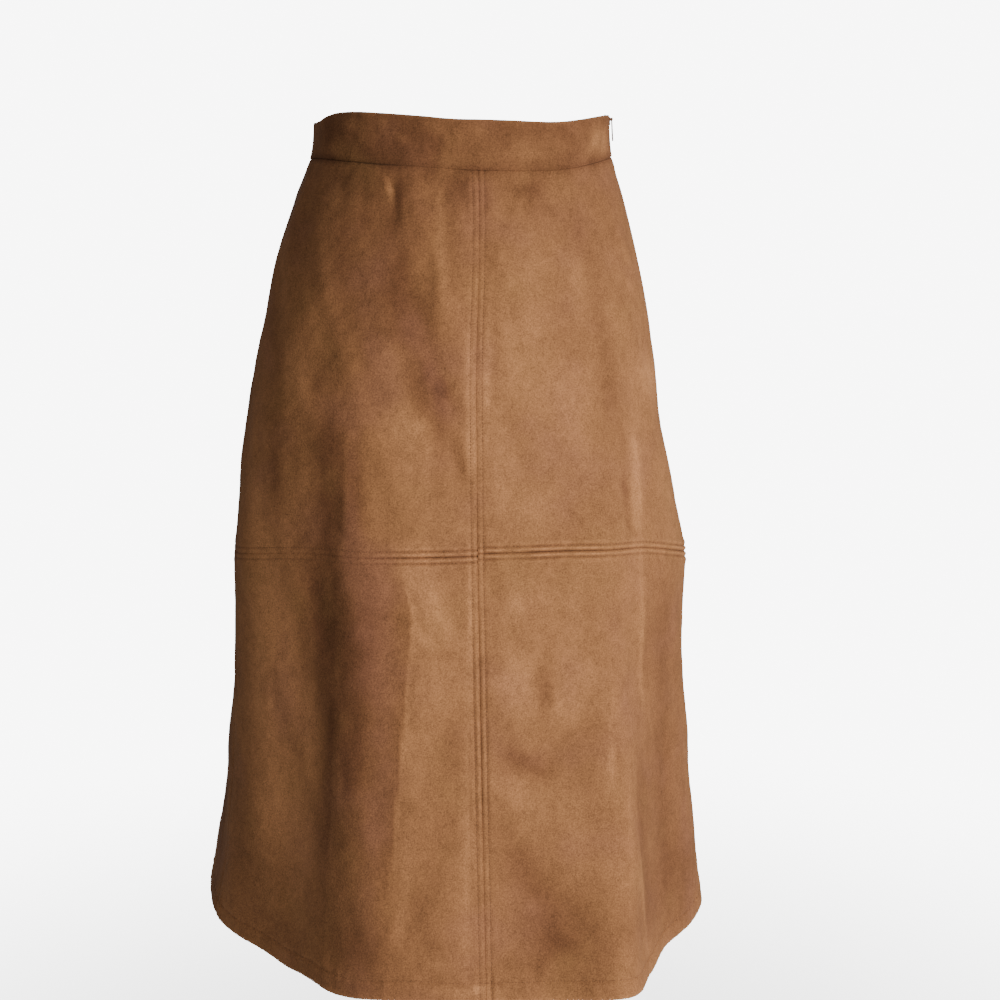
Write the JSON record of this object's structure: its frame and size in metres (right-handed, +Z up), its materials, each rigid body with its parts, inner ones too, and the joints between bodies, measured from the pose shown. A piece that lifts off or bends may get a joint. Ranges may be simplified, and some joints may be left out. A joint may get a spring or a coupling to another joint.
{
  "type": "a-line skirt",
  "caption": "A-line midi skirt in faux suede, hollow as worn, with a plain waistband, top-stitched panel seams, a turned hem and a concealed side zip.",
  "frame": {"origin": "middle of the waist opening, at half the height of the waistband at the sides", "axes": "+Z up through the waist opening, -Y towards the front, +X towards the wearer's left"},
  "size_m": [0.5093, 0.4566, 0.8146],
  "materials": {
    "suede": "tan-brown faux suede with a soft uneven nap",
    "zip_tape": "dark brown woven zip tape and nylon coil",
    "zip_metal": "satin brown lacquer"
  },
  "bodies": {
    "skirt": {"waistband_front": "suede", "waistband_back": "suede", "front_upper_right": "suede", "front_upper_left": "suede", "front_lower_right": "suede", "front_lower_left": "suede", "back_upper": "suede", "back_lower": "suede", "zip_tape_front": "zip_tape", "zip_tape_back": "zip_tape", "zip_coil": "zip_tape", "zip_slider": "zip_metal"},
    "pull_tab": {"zip_pull": "zip_metal"}
  },
  "joints": [
    {"name": "zip_pull_swing", "type": "hinge", "parent": "skirt", "child": "pull_tab", "pos_m": [0.14899, -0.01575, 0.01577], "axis": [-0.134, -0.991, -0.0017], "range_deg": [0, 160]}
  ]
}
